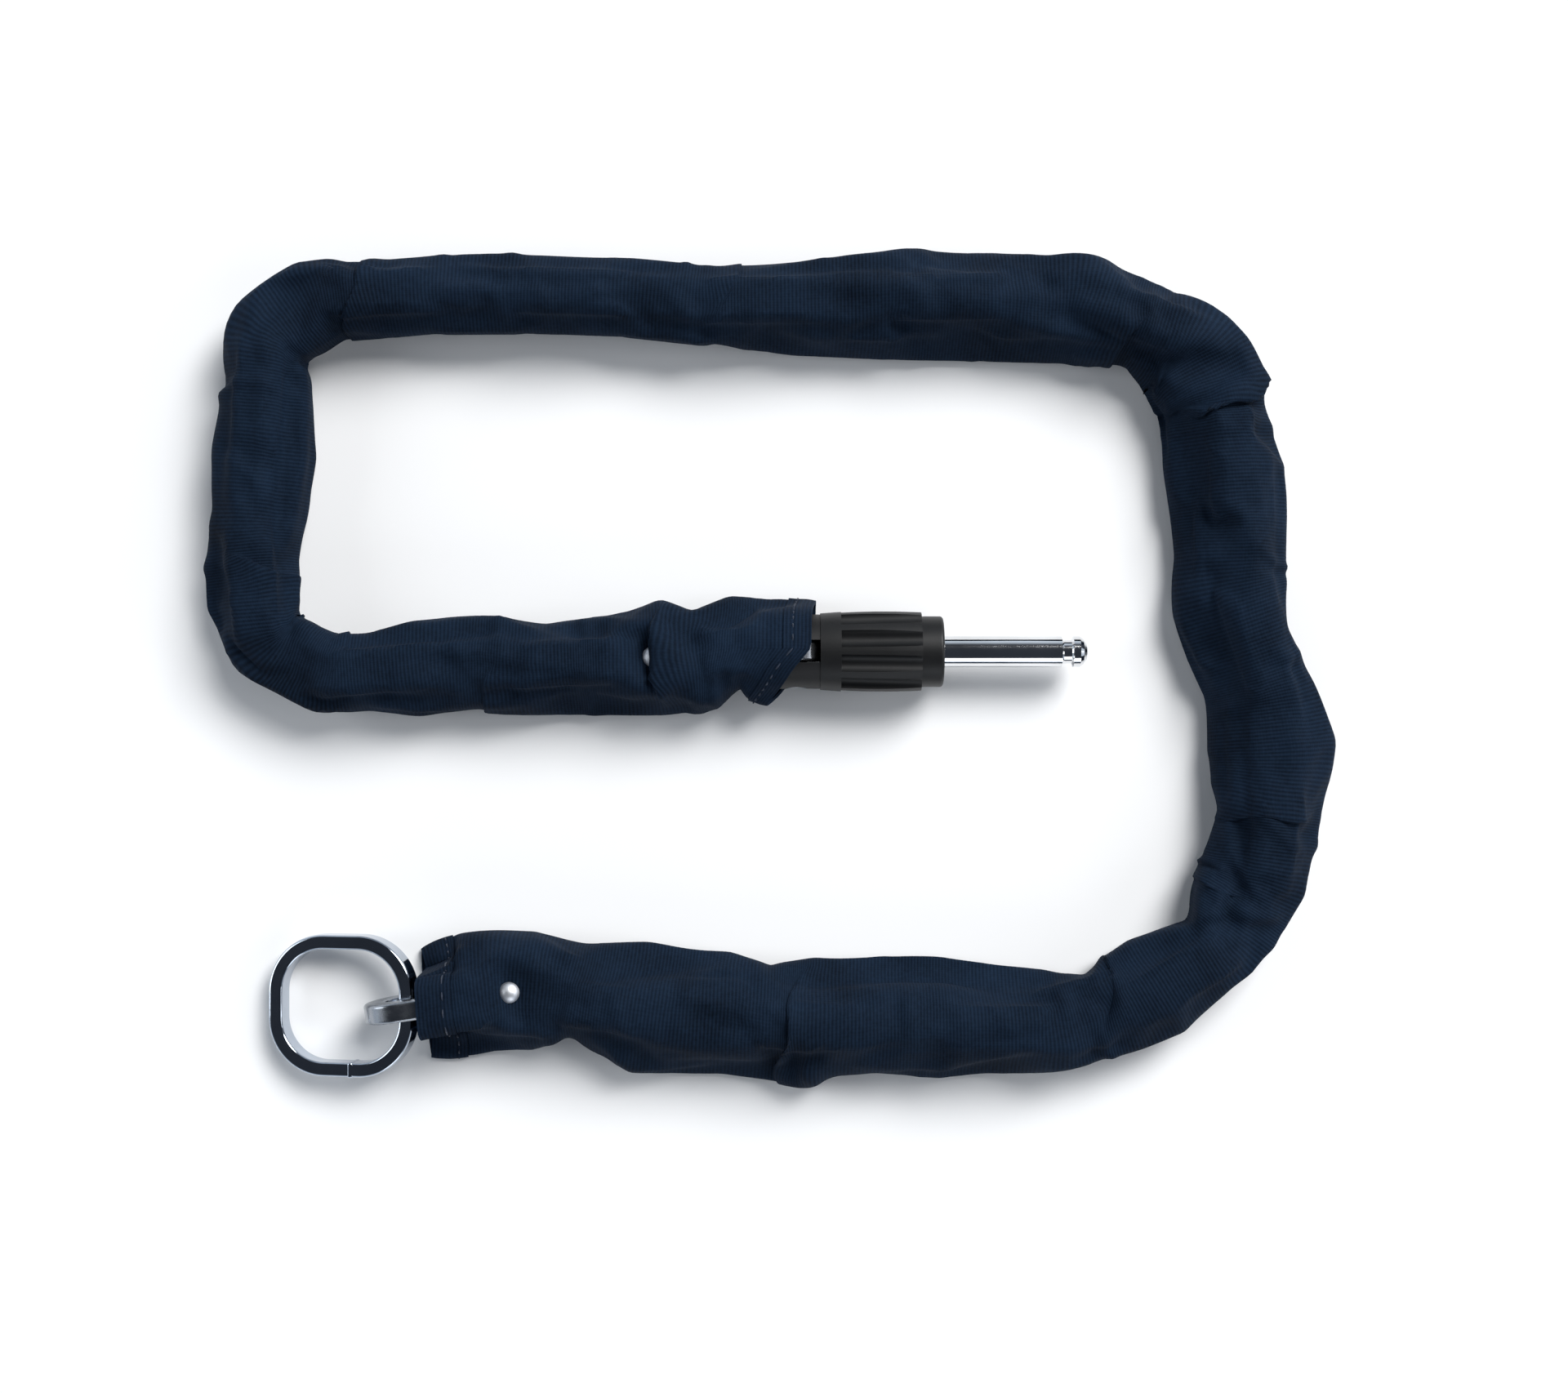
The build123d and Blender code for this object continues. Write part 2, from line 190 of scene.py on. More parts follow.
def end_bars():
    """The centres of the upright links' end bars, from the ring to the plug, on the floor plan."""
    links = []
    for number in range(1, LINK_COUNT + 1, 2):
        mesh = frame["nodes"][f"chain_link_{number:02d}"].data
        co = np.array([v.co for v in mesh.vertices])[:, :2]
        along = np.linalg.svd(co - co.mean(0), full_matrices=False)[2][0]
        links.append(((co.min(0) + co.max(0)) / 2, along * LINK_REACH))
    bars = []
    for number, (centre, along) in enumerate(links):
        ahead = links[min(number + 1, len(links) - 1)][0] - links[max(number - 1, 0)][0]
        along = along if along @ ahead > 0 else -along
        bars += [centre - along, centre + along]
    return np.array(bars)


BARS = end_bars()


class Route:
    """The chain's line on the floor plan, by distance from the sleeve's mouth at the ring end."""

    step = 1 * MM
    smooth = 5                     # steps either way that a corner is rounded over

    def __init__(self, bars):
        lead = bars[0] - bars[1]
        before = bars[0] + lead / np.linalg.norm(lead) * NEAR_MOUTH
        after = np.array([SLEEVE_END_X + NEAR_MOUTH, 0.0])
        knots = np.vstack([before, bars, after])
        reach = np.concatenate([[0], np.cumsum(np.linalg.norm(np.diff(knots, axis=0), axis=1))])
        even = np.arange(0, reach[-1], self.step)
        line = np.stack([np.interp(even, reach, knots[:, k]) for k in (0, 1)], 1)
        window = np.hanning(4 * self.smooth + 1)
        window /= window.sum()
        padded = np.pad(line, ((2 * self.smooth, 2 * self.smooth), (0, 0)), mode="edge")
        self.line = np.stack([np.convolve(padded[:, k], window, mode="valid") for k in (0, 1)], 1)
        self.at = np.concatenate([[0], np.cumsum(np.linalg.norm(np.diff(self.line, axis=0), axis=1))])
        mouth = bars[0] - lead / np.linalg.norm(lead) * MOUTH_BACK
        self.at -= self.at[np.linalg.norm(self.line - mouth, axis=1).argmin()]
        late = len(self.line) - 60                     # the line's last stretch, along X to the plug
        end = late + np.abs(self.line[late:, 0] - SLEEVE_END_X).argmin()
        self.length = self.at[end]
        tangent = np.gradient(self.line, axis=0)
        self.tangent = tangent / np.linalg.norm(tangent, axis=1)[:, None]

    def point(self, distance):
        return np.stack([np.interp(distance, self.at, self.line[:, k]) for k in (0, 1)], -1)

    def along(self, distance):
        t = np.stack([np.interp(distance, self.at, self.tangent[:, k]) for k in (0, 1)], -1)
        return t / np.linalg.norm(t, axis=-1, keepdims=True)

    def left(self, distance):
        t = self.along(distance)
        return np.stack([-t[..., 1], t[..., 0]], -1)

    def distance_of(self, place):
        """How far along the route the nearest point to a place is."""
        return self.at[np.linalg.norm(self.line - np.asarray(place)[:2], axis=1).argmin()]


ROUTE = Route(BARS)
COLUMNS = int(ROUND / GRID) // 2 * 2


def cloth_length():
    """Cloth used up to each point along the route: (distances, lengths)."""
    distance = np.linspace(0, ROUTE.length, 4000)
    share = np.full(len(distance), SPARE_LENGTH)
    for at, extra, spread in GATHERS:
        share += extra / (spread * math.sqrt(math.pi)) * np.exp(-(((distance / MM - at) / spread) ** 2))
    used = np.concatenate([[0], np.cumsum((share[1:] + share[:-1]) / 2 * np.diff(distance))])
    return distance, used


CLOTH_AT, CLOTH_USED = cloth_length()
ROWS = int(CLOTH_USED[-1] / GRID) + 1


def rows_along(rows):
    """The route distances of evenly spaced rows of cloth, and the cloth's own length at each."""
    used = np.linspace(0, CLOTH_USED[-1], rows)
    return np.interp(used, CLOTH_USED, CLOTH_AT), used


def outline_at(distance):
    """The sleeve's reach to the left and right of the chain at a distance along it."""
    table = np.array(OUTLINE) * MM
    span = table[-1, 0]
    spot = np.asarray(distance) / ROUTE.length * span
    return np.interp(spot, table[:, 0], table[:, 1]), np.interp(spot, table[:, 0], table[:, 2])


def grid_faces(rows, columns, flip=False):
    """Faces of a tube's grid, closed around its columns."""
    faces = []
    for i in range(rows - 1):
        for j in range(columns):
            k = (j + 1) % columns
            quad = (i * columns + j, (i + 1) * columns + j, (i + 1) * columns + k, i * columns + k)
            faces.append(quad[::-1] if flip else quad)
    return faces


def rivet_spots():
    """The two rivets: distance along the route and offset to the left."""
    spots = []
    for name in RIVETS:
        place = middle_of(name)
        distance = ROUTE.distance_of(place)
        offset = (place[:2] - ROUTE.point(distance)) @ ROUTE.left(distance)
        spots.append((distance, offset))
    return spots


def start_tube():
    """The tube before it settles: oval sections as wide as the outline, drawn in at the rivets.

    Returns its points and each point's distance along the route.
    """
    distance, used = rows_along(ROWS)
    turn = np.arange(COLUMNS) / COLUMNS * 2 * math.pi
    left, right = outline_at(distance)
    shape = 2 / 2.5
    cos, sin = np.cos(turn), np.sin(turn)
    wide = np.sign(cos) * np.abs(cos) ** shape
    high = np.sign(sin) * np.abs(sin) ** shape
    middle = (left - right) / 2
    half = (left + right) / 2
    waves = 0.5 * MM * (np.sin(used / (6.1 * MM)) + np.sin(used / (3.3 * MM) + 1.0))
    side = middle[:, None] + (half - 0.6 * MM)[:, None] * wide[None]
    drift = 1.4 * np.sin(used / (31 * MM)) + 0.9 * np.sin(used / (17 * MM))
    bulge = waves[:, None] * np.cos(2 * turn[None] + drift[:, None])
    height = START_HEIGHT * high[None] + bulge * np.abs(high[None])
    row_at = np.repeat(distance[:, None], COLUMNS, 1)
    for at, offset in rivet_spots():
        near = np.hypot(row_at - at, side - offset)
        draw = ease(1 - (near - 2.5 * MM) / (9 * MM))
        height = height + (np.sign(height) * RIVET_LEVEL - height) * draw
    plan = ROUTE.point(distance)[:, None] + ROUTE.left(distance)[:, None] * side[..., None]
    return np.concatenate([plan, height[..., None]], -1), row_at


def stadium_ring(centre, along, upright):
    """A link as a coarse closed ring of square section, for the cloth to rest on."""
    count = 28
    radius = EYE_WIDTH / 2 + BAR / 2
    turn = np.arange(count) / count * 2 * math.pi
    x = radius * np.cos(turn) + np.where(np.cos(turn) > 0, LINK_STRAIGHT, -LINK_STRAIGHT)
    y = radius * np.sin(turn)
    along = np.append(along, 0)
    across = np.array([0, 0, 1.0]) if upright else np.array([-along[1], along[0], 0])
    flat = np.cross(along, across)
    verts = []
    for corner in ((1, 1), (-1, 1), (-1, -1), (1, -1)):
        out = BAR / 2 * corner[0]
        px = x + out * np.cos(turn)
        py = y + out * np.sin(turn)
        verts.append(centre + px[:, None] * along + py[:, None] * across + flat * BAR / 2 * corner[1])
    faces = []
    for c in range(4):
        d = (c + 1) % 4
        for k in range(count):
            m = (k + 1) % count
            faces.append((c * count + k, c * count + m, d * count + m, d * count + k))
    return np.concatenate(verts), faces


def chain_proxy():
    """All the links, and the fork, as one light mesh for the cloth to rest on."""
    parts = []
    for number in range(LINK_COUNT):
        a, b = BARS[number], BARS[number + 1]
        along = (b - a) / np.linalg.norm(b - a)
        parts.append(stadium_ring(np.append((a + b) / 2, 0), along, number % 2 == 0))
    count = 32
    turn = np.arange(count) / count * 2 * math.pi
    rings = [
        np.stack([np.full(count, x), r * np.cos(turn), r * np.sin(turn)], 1)
        for x, r in ((FORK_BACK_X, 1 * MM), (FORK_BACK_X, FORK_R - 1 * MM), (FORK_BACK_X + 1 * MM, FORK_R),
                     (FORK_FRONT_X, FORK_R))
    ]
    parts.append((np.concatenate(rings), grid_faces(len(rings), count)))
    verts, faces = [], []
    total = 0
    for v, f in parts:
        verts.append(v)
        faces += [tuple(k + total for k in face) for face in f]
        total += len(v)
    return np.concatenate(verts), faces


def add_collision(obj):
    obj.modifiers.new("Collision", "COLLISION")
    obj.collision.thickness_outer = 0.008
    obj.collision.thickness_inner = 0.02
    obj.collision.cloth_friction = 15
    obj.collision.use_culling = False


def settle_cloth(points):
    """Lets the tube settle over the links by cloth simulation, and returns its points."""
    rows, columns = points.shape[:2]
    tube = make_object("cloth_sim", points.reshape(-1, 3) * SIM_SCALE, grid_faces(rows, columns))
    turn = np.arange(columns) / columns * 2 * math.pi
    rest = np.zeros_like(points)
    rest[..., 0] = rows_along(rows)[1][:, None]
    rest[..., 1] = ROUND / (2 * math.pi) * np.cos(turn)
    rest[..., 2] = ROUND / (2 * math.pi) * np.sin(turn)
    tube.shape_key_add(name="Basis")
    key = tube.shape_key_add(name="rest")
    key.data.foreach_set("co", (rest * SIM_SCALE).ravel())
    pins = tube.vertex_groups.new(name="pins")
    flat = points.reshape(-1, 3)
    for name in RIVETS:
        near = np.linalg.norm(flat[:, :2] - middle_of(name)[:2], axis=1) < 3.0 * MM
        pins.add([int(k) for k in np.flatnonzero(near)], 1.0, "REPLACE")
    verts, faces = chain_proxy()
    chain = make_object("chain_proxy", verts * SIM_SCALE, faces)
    add_collision(chain)
    ground = make_square("ground_proxy", 20.0, FLOOR_Z * SIM_SCALE)
    add_collision(ground)
    cloth = tube.modifiers.new("Cloth", "CLOTH")
    settings = cloth.settings
    settings.quality = 6
    settings.mass = 0.3
    settings.tension_stiffness = 40
    settings.compression_stiffness = 40
    settings.shear_stiffness = 12
    settings.bending_stiffness = 0.6
    settings.air_damping = 2.0
    settings.rest_shape_key = key
    settings.vertex_group_mass = "pins"
    collide = cloth.collision_settings
    collide.collision_quality = 3
    collide.distance_min = 0.008
    collide.use_self_collision = True
    collide.self_distance_min = 0.010
    scene = bpy.context.scene
    scene.frame_start = 1
    scene.frame_end = SIM_FRAMES
    cloth.point_cache.frame_start = 1
    cloth.point_cache.frame_end = SIM_FRAMES
    for number in range(1, SIM_FRAMES + 1):
        scene.frame_set(number)
    settled = tube.evaluated_get(bpy.context.evaluated_depsgraph_get())
    co = np.zeros(rows * columns * 3)
    settled.data.vertices.foreach_get("co", co)
    scene.frame_set(1)
    for obj in (tube, chain, ground):
        remove_object(obj)
    return co.reshape(rows, columns, 3) / SIM_SCALE


def smooth_rows(values, reach):
    """A running mean along the sleeve."""
    window = np.hanning(2 * reach + 3)
    window /= window.sum()
    return np.convolve(np.pad(values, reach + 1, mode="edge"), window, mode="valid")


def fit_outline(points, row_at):
    """Moves the settled cloth sideways until its outline is the sleeve's."""
    side = side_of(points, row_at)
    high = smooth_rows(side.max(1), 1)
    low = smooth_rows(side.min(1), 1)
    left, right = outline_at(row_at[:, 0])
    scale = (left + right) / (high - low)
    middle = (high + low) / 2
    fitted = (left - right)[:, None] / 2 + (side - middle[:, None]) * scale[:, None]
    moved = points.copy()
    moved[..., :2] += ROUTE.left(row_at) * (fitted - side)[..., None]
    return moved


def clear_of_link(flat, number, gap):
    """Moves cloth that lies inside a link, or nearer to it than the gap, out through the link's nearest side.

    The first link gets room to swing and the other upright links room to bend.
    """
    a, b = BARS[number], BARS[number + 1]
    first, upright = number == 0, number % 2 == 0
    along = np.append(b - a, 0) / np.linalg.norm(b - a)
    side = np.array([-along[1], along[0], 0])
    up = np.array([0, 0, 1.0])
    across, thick = (up, side) if upright else (side, up)
    rel = flat - np.append((a + b) / 2, 0)
    x = rel @ along
    level = rel @ thick
    back = 1.0 if first else LINK_STRAIGHT             # the first link's ring end is outside the mouth
    out = np.stack([x - np.clip(x, -back, LINK_STRAIGHT), rel @ across], 1)
    reach = np.linalg.norm(out, axis=1)
    edge = reach - LINK_OUTER
    face = np.abs(level) - BAR / 2
    if first:
        face = face - SWING_ROOM
        edge = edge - SWING_LIFT
    elif upright:
        face = face - BEND_ROOM
    close = np.flatnonzero((edge < gap) & (face < gap) & (reach > 1e-6))
    by_edge = edge[close] > face[close]
    k = close[by_edge]
    push = (gap - edge[k]) / reach[k]
    flat[k] += (out[k, :1] * along + out[k, 1:] * across) * push[:, None]
    k = close[~by_edge]
    flat[k] += (np.sign(level[k]) * (gap - face[k]))[:, None] * thick
    if first:
        slope_mouth(flat, x, level, gap)


def slope_mouth(flat, x, level, gap):
    """Holds the cloth beside the first link up, higher towards the link and towards the mouth."""
    out_by = np.clip((np.abs(level) - BAR / 2 - SWING_ROOM) / (10 * MM), 0, 1)
    roof = (LINK_OUTER + gap) * (1 - 0.7 * out_by) * np.clip((LINK_REACH - x) / (20 * MM), 0, 1)
    height = np.abs(flat[:, 2])
    k = (out_by > 0) & (out_by < 1) & (np.abs(x) < NEAR_MOUTH) & (height < roof) & (height > 0.5 * MM)
    flat[k, 2] = np.sign(flat[k, 2]) * roof[k]


def clear_of_fork(flat, gap):
    """Keeps the cloth at the plug end off the fork, with room for it to rock."""
    x = flat[:, 0]
    reach = np.hypot(flat[:, 1], flat[:, 2])
    wanted = FORK_R + ROCK_ROOM + gap
    over_fork = (x > FORK_BACK_X - 1 * MM) & (x < SLEEVE_END_X + 5 * MM) & (np.abs(flat[:, 1]) < NEAR_MOUTH)
    k = np.flatnonzero(over_fork & (reach < wanted) & (reach > 1 * MM))
    flat[k, 1:] *= (wanted / reach[k])[:, None]


def clear_of_chain(points, gap):
    """Keeps the cloth a gap away from every link and from the fork."""
    flat = points.reshape(-1, 3).copy()
    for number in range(LINK_COUNT):
        clear_of_link(flat, number, gap)
    clear_of_fork(flat, gap)
    return flat.reshape(points.shape)


def pucker(points, row_at, normal):
    """Small folds in all the cloth, mostly across the chain, more of them where it is gathered."""
    rng = np.random.default_rng(11)
    side = side_of(points, row_at) / MM
    along = row_at / MM
    under = np.where(normal[..., 2] < 0, 1.0, 0.0)
    length = ROUTE.length / MM
    folds = [(at + rng.normal(0, 7), True) for at, extra, _ in GATHERS for _ in range(2 + int(extra))]
    folds += [(at, False) for at in rng.uniform(14, length - 12, 90)]
    lift = np.zeros(side.shape)
    for at, gathered in folds:
        across = rng.uniform(-15, 15)
        angle = math.radians(90 + rng.normal(0, 24) if gathered else rng.uniform(20, 160))
        reach = rng.uniform(5, 10)
        width = rng.uniform(1.5, 2.6)
        high = rng.uniform(0.35, 0.9) * (1.0 if gathered else 0.8)
        lower = 1.0 if rng.uniform() < 0.3 else 0.0
        a, b = along - at, side - across
        p = a * math.cos(angle) + b * math.sin(angle)
        q = b * math.cos(angle) - a * math.sin(angle) + 0.03 * p * p
        ridge = np.exp(-((q / width) ** 2)) - 0.7 * np.exp(-(((q - 1.9 * width) / (1.2 * width)) ** 2))
        lift += high * ridge * np.exp(-((p / reach) ** 2)) * (under == lower)
    lift *= np.clip(np.abs(normal[..., 2]) * 2, 0, 1)
    for at, offset in rivet_spots():
        near = np.hypot(row_at - at, side * MM - offset)
        lift *= np.clip((near - 3.5 * MM) / (5 * MM), 0, 1)
    return points + normal * (lift * MM)[..., None]


def soften(points, share):
    """Evens out the cloth a little towards the mean of its neighbours."""
    near = (np.roll(points, 1, 1) + np.roll(points, -1, 1)) / 4
    near[1:-1] += (points[:-2] + points[2:]) / 4
    near[0] = near[0] * 2
    near[-1] = near[-1] * 2
    return points + (near - points) * share


def side_of(points, row_at):
    """How far left of the chain's line each point is."""
    return ((points[..., :2] - ROUTE.point(row_at)) * ROUTE.left(row_at)).sum(-1)


def shape_mouths(points, row_at):
    """The plug end's cut edge runs back towards its right-hand corner, and the ring end's leans a little."""
    side = side_of(points, row_at)
    near_plug = ease((row_at - (ROUTE.length - PLUG_CUT_REACH)) / PLUG_CUT_REACH)
    near_ring = ease(1 - row_at / RING_CUT_REACH)
    corners = np.array([-15, -4.5, 0.7, 14]) * MM
    back = np.interp(side, corners, np.array([10.5, 3.4, -1.3, -1.6]) * MM) * near_plug
    back = back + (0.8 * MM - side * 0.07) * near_ring
    moved = points.copy()
    moved[..., :2] -= ROUTE.along(row_at) * back[..., None]
    return moved


def fold_over(points, row_at, normal):
    """Lays each pleat's cloth over its neighbour."""
    moved = points.copy()
    side = side_of(points, row_at) / MM
    for at, reach, proud, skew, middle, half in PLEATS:
        way = 1 if reach > 0 else -1
        line = at + skew * side / 16 + 0.8 * np.sin(side / 2.9 + at)
        past = (line - row_at / MM) * way
        fade = np.clip(1 - np.maximum(past, 0) / (3.4 * abs(reach)), 0, 1)
        weight = ease((past + 1.2) / 2.4) * fade * fade
        weight = weight * np.clip((half - np.abs(side - middle)) / 7, 0, 1)
        weight = weight * np.clip(normal[..., 2] + 0.75, 0, 1)
        moved[..., :2] += ROUTE.along(row_at) * (weight * reach * MM)[..., None]
        moved += normal * (weight * proud * MM)[..., None]
    return moved


def crease(points, row_at, normal):
    """Raises the long creases as soft-sided ridges on the upper side of the cloth."""
    side = side_of(points, row_at) / MM
    lift = np.zeros(side.shape)
    for first, last, start, end in CREASES:
        t = (row_at / MM - first) / (last - first)
        line = start + (end - start) * t + 1.2 * np.sin(t * 5.0)
        run = np.clip(np.minimum(t, 1 - t) * 5, 0, 1)
        off = side - line
        sharp = np.where(off > 0, np.exp(-off / 2.6), np.exp(off / 1.1))
        hollow = np.exp(-(((off + 3.6) / 2.2) ** 2))
        lift += run * (1.25 * sharp - 0.75 * hollow)
    return points + normal * (lift * MM * np.clip(normal[..., 2], 0, 1))[..., None]


def refine(points):
    """Twice the points each way, on a smooth surface through the old ones."""
    def middles(p, axis, closed):
        if closed:
            a, b, c, d = (np.roll(p, shift, axis) for shift in (1, 0, -1, -2))
            return (9 * (b + c) - a - d) / 16
        pad = np.concatenate([p[:1] * 2 - p[1:2], p, p[-1:] * 2 - p[-2:-1]], 0)
        return (9 * (pad[1:-2] + pad[2:-1]) - pad[:-3] - pad[3:]) / 16
    wide = np.empty((points.shape[0], points.shape[1] * 2, 3))
    wide[:, 0::2] = points
    wide[:, 1::2] = middles(points, 1, True)
    fine = np.empty((wide.shape[0] * 2 - 1, wide.shape[1], 3))
    fine[0::2] = wide
    fine[1::2] = middles(wide, 0, False)
    return fine


def refine_rows(values):
    """Values for the rows of a refined grid."""
    fine = np.empty(len(values) * 2 - 1)
    fine[0::2] = values
    fine[1::2] = (values[1:] + values[:-1]) / 2
    return fine


def grid_normals(points):
    """Outward normals of a tube's grid."""
    along = np.gradient(points, axis=0)
    around = np.roll(points, -1, 1) - np.roll(points, 1, 1)
    normal = np.cross(around, along)
    return normal / np.maximum(np.linalg.norm(normal, axis=-1, keepdims=True), 1e-12)


def shell(name, outer, inner, normal, u, first, last):
    """A closed shell of cloth from rows first to last of the tube, with its weave's coordinates in metres.

    Its shading normals come from the whole tube, so that neighbouring pieces meet without a line.
    """
    rows = last - first + 1
    columns = outer.shape[1]
    count = rows * columns
    outer_faces = grid_faces(rows, columns, flip=True)
    inner_faces = [tuple(k + count for k in face[::-1]) for face in outer_faces]
    rims = []
    for row in (0, rows - 1):
        for j in range(columns):
            k = (j + 1) % columns
            a, b = row * columns + j, row * columns + k
            quad = (a, b, b + count, a + count)
            rims.append(quad if row else quad[::-1])
    verts = np.concatenate([outer[first:last + 1].reshape(-1, 3), inner[first:last + 1].reshape(-1, 3)])
    obj = make_object(name, verts, outer_faces + inner_faces + rims)
    mesh = obj.data
    layer = mesh.uv_layers.new(name="weave")
    loops = np.zeros(len(mesh.loops), int)
    mesh.loops.foreach_get("vertex_index", loops)
    at = loops % count
    column = at % columns
    uv = np.stack([u[first + at // columns], column / columns * ROUND], 1)
    owner = np.repeat(np.arange(len(mesh.polygons)), 4)
    wraps = np.zeros(len(mesh.polygons), bool)
    np.logical_or.at(wraps, owner, column == columns - 1)
    uv[wraps[owner] & (column == 0), 1] = ROUND
    layer.data.foreach_set("uv", uv.ravel())
    mesh.polygons.foreach_set("use_smooth", np.ones(len(mesh.polygons), bool))
    facing = normal[first:last + 1].reshape(-1, 3)[at]
    facing[loops >= count] *= -1
    rim_loops = len(outer_faces) * 8
    flat_normal = np.array([p.normal for p in mesh.polygons])
    facing[rim_loops:] = flat_normal[owner[rim_loops:]]
    mesh.normals_split_custom_set(facing.tolist())
    mesh.update()
    return obj


# ---------------------------------------------------------------- materials


class Nodes:
    """A short way to lay out a material's nodes."""

    def __init__(self, name):
        self.material = bpy.data.materials.new(name)
        self.material.use_nodes = True
        self.tree = self.material.node_tree
        self.shader = self.tree.nodes["Principled BSDF"]

    def add(self, kind, **values):
        node = self.tree.nodes.new(kind)
        for key, value in values.items():
            if key in node.inputs.keys():
                node.inputs[key].default_value = value
            else:
                setattr(node, key, value)
        return node

    def link(self, a, b):
        self.tree.links.new(a, b)

    def math(self, operation, *values):
        node = self.add("ShaderNodeMath", operation=operation)
        for slot, value in zip(node.inputs, values):
            if isinstance(value, (int, float)):
                slot.default_value = value
            else:
                self.link(value, slot)
        return node.outputs[0]

    def noise(self, scale, detail, where):
        node = self.add("ShaderNodeTexNoise")
        node.inputs["Scale"].default_value = scale
        node.inputs["Detail"].default_value = detail
        node.inputs["Roughness"].default_value = 0.55
        self.link(where, node.inputs["Vector"])
        return node.outputs["Fac"]

    def ramp(self, factor, stops):
        node = self.add("ShaderNodeValToRGB")
        self.link(factor, node.inputs["Fac"])
        ramp = node.color_ramp
        while len(ramp.elements) < len(stops):
            ramp.elements.new(0.5)
        for element, (place, colour) in zip(ramp.elements, stops):
            element.position = place
            element.color = (*colour, 1)
        return node.outputs["Color"]

    def bump(self, height, strength, distance, after=None):
        node = self.add("ShaderNodeBump")
        node.inputs["Strength"].default_value = strength
        node.inputs["Distance"].default_value = distance
        self.link(height, node.inputs["Height"])
        if after is not None:
            self.link(after, node.inputs["Normal"])
        return node.outputs["Normal"]

    def set(self, **values):
        for key, value in values.items():
            self.shader.inputs[key.replace("_", " ")].default_value = value

    def object_space(self):
        return self.add("ShaderNodeTexCoord").outputs["Object"]


def fabric(name, dark, light):
    """Navy ribbed weave: ribs across the tube, finer warp threads along it, sheen and soft wear, and painted
    shade on the ribs, their hollows darker and crests lighter in the colour.
    """
    n = Nodes(name)
    uv = n.add("ShaderNodeUVMap", uv_map="weave").outputs["UV"]
    split = n.add("ShaderNodeSeparateXYZ")
    n.link(uv, split.inputs[0])
    u, v = split.outputs[0], split.outputs[1]
    rib = n.math("SINE", n.math("MULTIPLY", u, 2 * math.pi / RIB))
    warp = n.math("SINE", n.math("MULTIPLY", v, 2 * math.pi / (0.55 * MM)))
    place = n.object_space()
    broad = n.noise(45, 4, place)
    fine = n.noise(900, 3, place)
    # The rib wave paints shade into the colour: darker in the rib hollows, lighter on the crests, in step
    # with the rib bump.
    rib_shade_and_tone = n.math("ADD", n.math("MULTIPLY", rib, 0.13), n.math("MULTIPLY", broad, 0.75))
    rib_shade_and_tone = n.math("ADD", rib_shade_and_tone, n.math("MULTIPLY", fine, 0.35))
    n.link(n.ramp(rib_shade_and_tone, [(0.25, dark), (0.85, light)]), n.shader.inputs["Base Color"])
    height = n.math("ADD", n.math("MULTIPLY", rib, 0.5), n.math("MULTIPLY", warp, 0.16))
    first = n.bump(height, 0.55, 0.16 * MM)
    n.link(n.bump(fine, 0.35, 0.15 * MM, first), n.shader.inputs["Normal"])
    n.set(Roughness=0.78, Sheen_Weight=0.02, Sheen_Roughness=0.4, Specular_IOR_Level=0.06)
    n.shader.inputs["Sheen Tint"].default_value = (0.42, 0.52, 0.75, 1)
    return n.material


def navy_thread():
    """Twisted sewing thread, a little brighter than the cloth."""
    n = Nodes("navy_thread")
    place = n.object_space()
    twist = n.noise(2500, 2, place)
    n.link(n.ramp(twist, [(0.3, (0.006, 0.011, 0.024)), (0.8, (0.022, 0.034, 0.062))]),
           n.shader.inputs["Base Color"])
    n.link(n.bump(twist, 0.5, 0.08 * MM), n.shader.inputs["Normal"])
    n.set(Roughness=0.6, Sheen_Weight=0.1, Specular_IOR_Level=0.3)
    return n.material


def metal(name, colour, roughness, scratch):
    """Plated or polished steel with faint handling marks."""
    n = Nodes(name)
    place = n.object_space()
    marks = n.noise(320, 5, place)
    wide = n.noise(60, 3, place)
    shade = tuple(0.82 * c for c in colour)
    n.link(n.ramp(wide, [(0.3, shade), (0.7, colour)]), n.shader.inputs["Base Color"])
    rough = n.math("ADD", n.math("MULTIPLY", marks, roughness * 0.8), roughness * 0.6)
    n.link(rough, n.shader.inputs["Roughness"])
    n.link(n.bump(marks, scratch, 0.08 * MM), n.shader.inputs["Normal"])
    n.set(Metallic=1.0)
    return n.material


def plastic(name, colour, roughness):
    """Black moulded plastic with a fine spark-eroded grain."""
    n = Nodes(name)
    place = n.object_space()
    grain = n.noise(1500, 2, place)
    wide = n.noise(70, 3, place)
    light = tuple(1.5 * c for c in colour)
    n.link(n.ramp(wide, [(0.35, colour), (0.75, light)]), n.shader.inputs["Base Color"])
    n.link(n.math("ADD", n.math("MULTIPLY", wide, 0.12), roughness), n.shader.inputs["Roughness"])
    n.link(n.bump(grain, 0.25, 0.06 * MM), n.shader.inputs["Normal"])
    n.set(Specular_IOR_Level=0.3)
    return n.material


def paint_node(name, material):
    mesh = frame["nodes"][name].data
    mesh.materials.clear()
    mesh.materials.append(material)


# ---------------------------------------------------------------- the sleeve's pieces

JOINTS = {joint["name"]: joint for joint in frame["joints"]}
